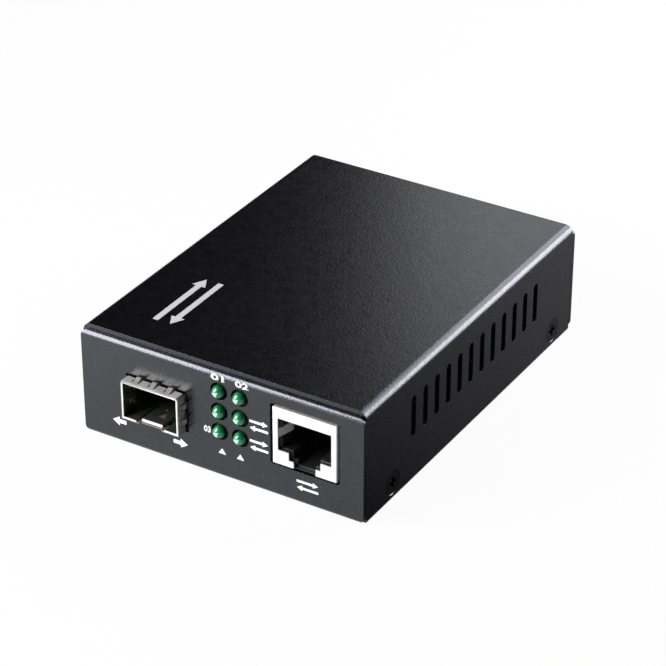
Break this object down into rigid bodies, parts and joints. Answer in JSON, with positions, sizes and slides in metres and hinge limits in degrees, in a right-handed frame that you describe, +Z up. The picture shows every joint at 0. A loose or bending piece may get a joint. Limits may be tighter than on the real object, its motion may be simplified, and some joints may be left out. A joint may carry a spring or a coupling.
{
  "type": "fibre media converter",
  "caption": "Small black steel box that joins a copper network line to an optical one, with a module cage, lamps and a shielded socket on its front and slots in its sides.",
  "frame": {"origin": "middle of the housing's underside, on the surface it stands on", "axes": "+Z up, -Y the way the front panel and its sockets face, +X to the right seen from the front"},
  "size_m": [0.071, 0.0983, 0.0273],
  "materials": {
    "powder_coat": "fine textured black powder coat",
    "black_screw": "black oxide",
    "spring_steel": "plain nickel-plated sheet",
    "nickel_shield": "bright matte plating",
    "socket_plastic": "black moulded plastic",
    "lamp_green": "tinted clear resin",
    "gold_plate": "gold flash",
    "board_laminate": "solder resist over glass laminate",
    "chip_resin": "moulded epoxy",
    "tinned_lead": "tinned",
    "zinc_steel": "zinc plated",
    "can_sleeve": "shrunk sleeve",
    "ferrite": "sintered ferrite",
    "ceramic": "fired ceramic",
    "screen_ink": "screen-printed ink, raised 0.02 mm"
  },
  "bodies": {
    "root": {"base_tray": "powder_coat", "board_screws": "zinc_steel", "board_standoffs": "zinc_steel", "capacitor_input": "can_sleeve", "capacitor_output": "can_sleeve", "chip_capacitors": "ceramic", "chip_resistors": "chip_resin", "circuit_board": "board_laminate", "cover_screws": "black_screw", "crystal": "tinned_lead", "dc_jack_body": "socket_plastic", "dc_jack_pin": "tinned_lead", "dc_jack_spring": "tinned_lead", "eeprom": "chip_resin", "eeprom_leads": "tinned_lead", "led_holder_left": "socket_plastic", "led_holder_right": "socket_plastic", "led_leads": "tinned_lead", "led_left_bottom": "lamp_green", "led_left_middle": "lamp_green", "led_left_top": "lamp_green", "led_right_bottom": "lamp_green", "led_right_middle": "lamp_green", "led_right_top": "lamp_green", "magnetics_module": "chip_resin", "magnetics_module_leads": "tinned_lead", "power_inductor": "ferrite", "regulator": "chip_resin", "regulator_leads": "tinned_lead", "rj45_contacts": "gold_plate", "rj45_insert": "socket_plastic", "rj45_shield": "nickel_shield", "sfp_cage_floor": "spring_steel", "sfp_cage_shell": "spring_steel", "sfp_connector": "socket_plastic", "sfp_contacts": "gold_plate", "sfp_spring_collar": "spring_steel", "switch_chip": "chip_resin", "switch_chip_leads": "tinned_lead", "top_cover": "powder_coat"}
  },
  "joints": []
}
